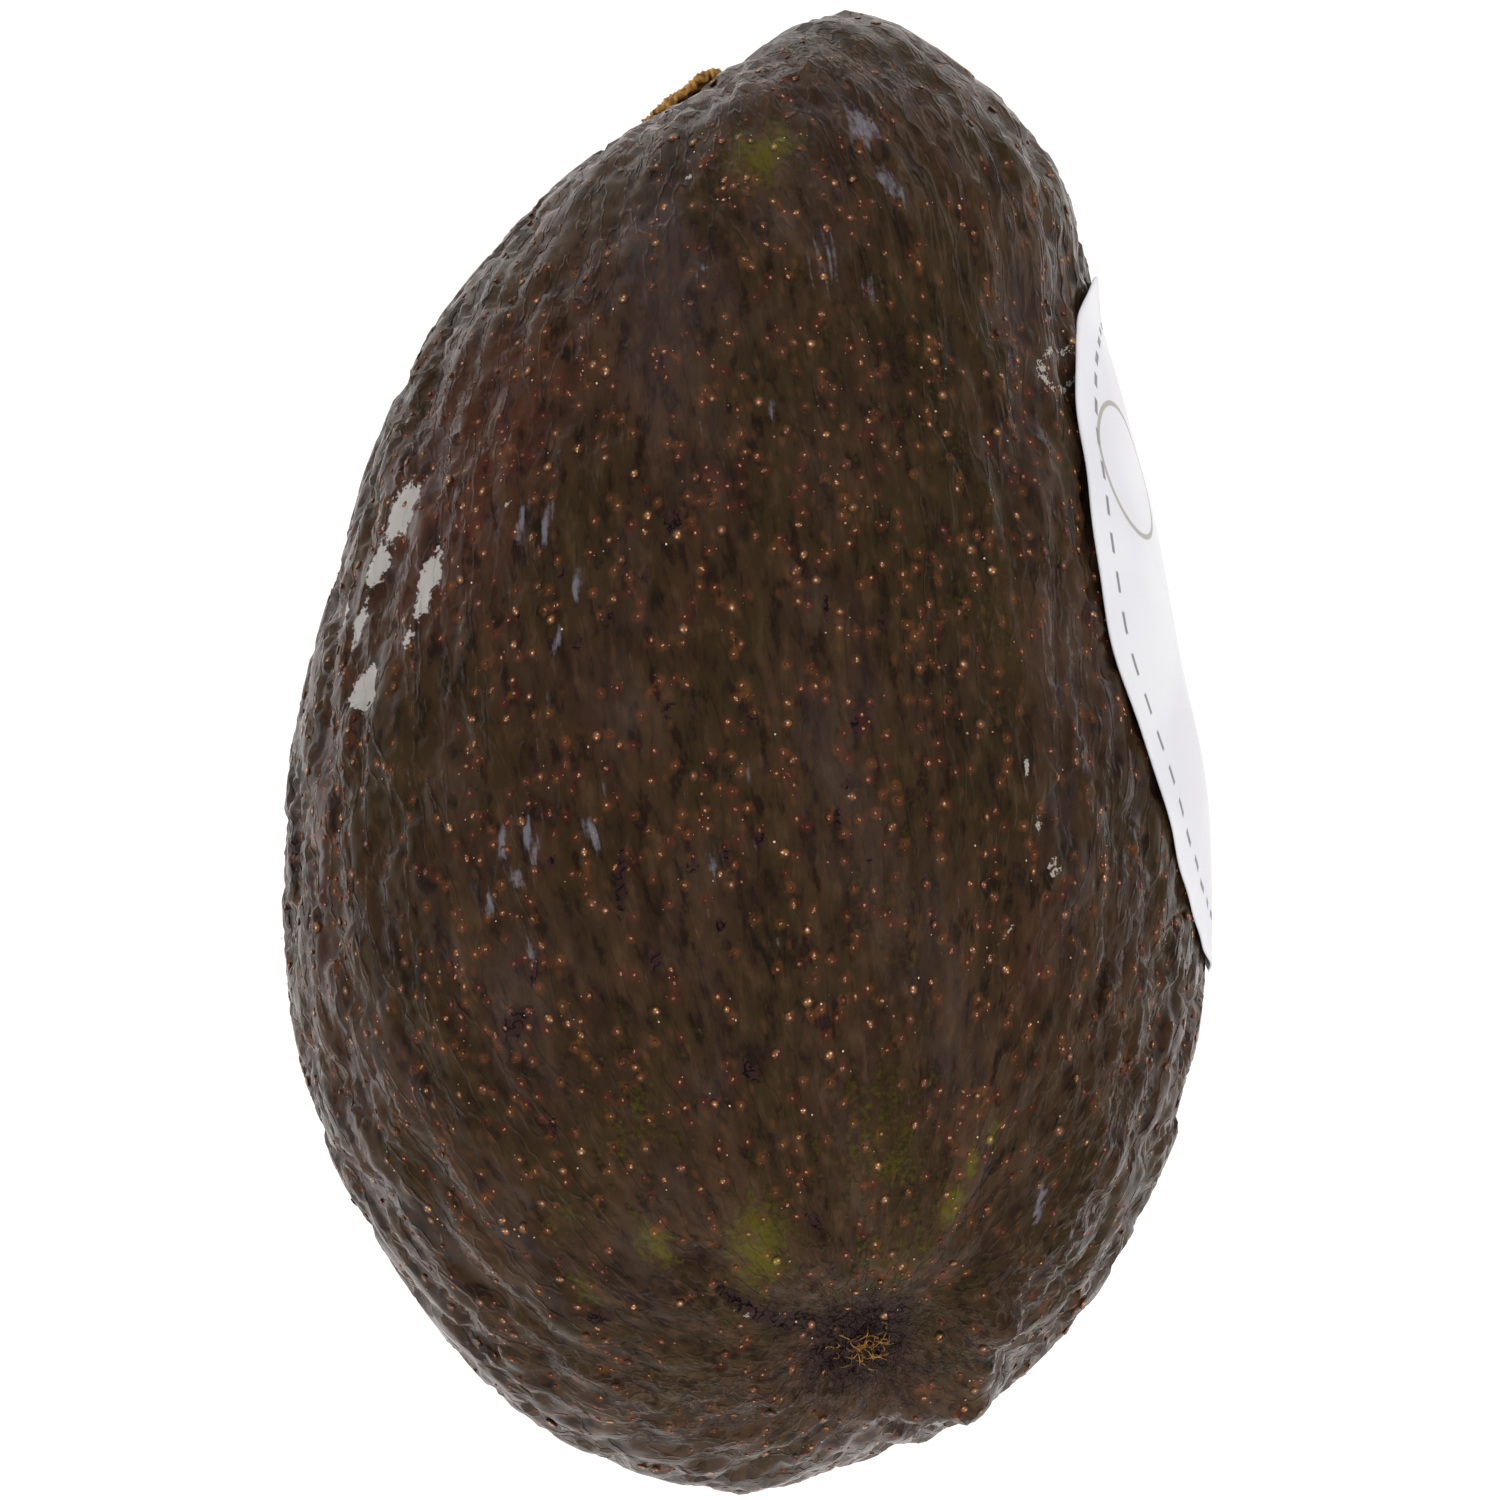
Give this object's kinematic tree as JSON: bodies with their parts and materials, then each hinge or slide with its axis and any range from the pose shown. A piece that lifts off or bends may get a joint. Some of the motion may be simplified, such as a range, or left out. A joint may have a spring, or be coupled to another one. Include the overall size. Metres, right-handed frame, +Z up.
{
  "type": "avocado",
  "caption": "Whole ripe avocado with dark pebbled skin, a dried corky stem button and a plain oval paper label on one flank, lying on its side.",
  "frame": {"origin": "under the middle of the part's box, on the surface that the fruit lies on", "axes": "+Z up, +Y towards the stem end along the fruit, +X towards the flank with the label"},
  "size_m": [0.0684, 0.1082, 0.0657],
  "materials": {
    "skin": "satin, waxy and pebbled, near-black brown",
    "cork": "dry and granular, golden brown",
    "label_paper": "smooth coated white paper"
  },
  "bodies": {
    "root": {"fruit": "skin", "stem_button": "cork", "label": "label_paper"}
  },
  "joints": []
}
